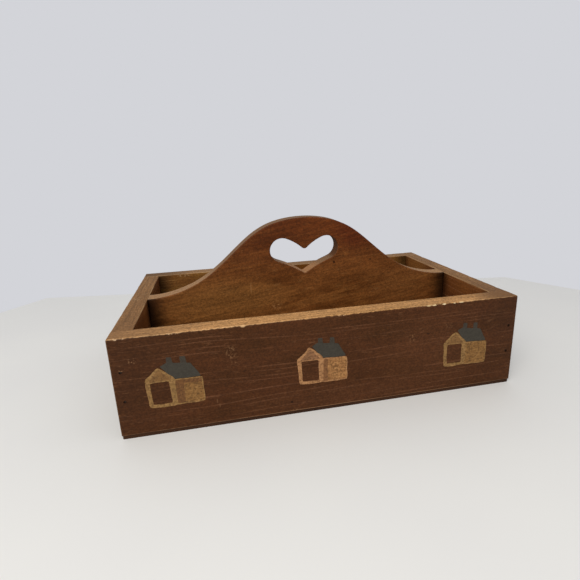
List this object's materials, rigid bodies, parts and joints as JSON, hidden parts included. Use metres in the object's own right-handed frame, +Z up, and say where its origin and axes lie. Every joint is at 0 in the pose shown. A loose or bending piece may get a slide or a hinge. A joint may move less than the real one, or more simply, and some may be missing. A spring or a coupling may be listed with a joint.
{
  "type": "wooden caddy",
  "caption": "Open-topped wooden caddy: a nailed board box on a thin bottom panel, with a centre divider that rises into an arched handle with a heart-shaped finger hole.",
  "frame": {"origin": "under the middle of the box, on the surface it stands on", "axes": "+X along the length to the right as seen from the front, +Y to the back, +Z up; the painted front faces -Y"},
  "size_m": [0.381, 0.225, 0.171],
  "materials": {
    "stained_board": "dark walnut stain, satin, worn through on the arrises",
    "stained_divider": "golden brown stain, satin, worn through on the arrises",
    "bottom_sheet": "stained hardboard, matt",
    "nail_steel": "dull darkened wire steel"
  },
  "bodies": {
    "root": {"front_board": "stained_board", "back_board": "stained_board", "left_end": "stained_board", "right_end": "stained_board", "handle_divider": "stained_divider", "bottom_panel": "bottom_sheet", "front_left_corner_nails": "nail_steel", "front_right_corner_nails": "nail_steel", "back_left_corner_nails": "nail_steel", "back_right_corner_nails": "nail_steel", "left_divider_nails": "nail_steel", "right_divider_nails": "nail_steel", "front_bottom_brads": "nail_steel", "back_bottom_brads": "nail_steel", "left_bottom_brads": "nail_steel", "right_bottom_brads": "nail_steel", "divider_bottom_brads": "nail_steel"}
  },
  "joints": []
}
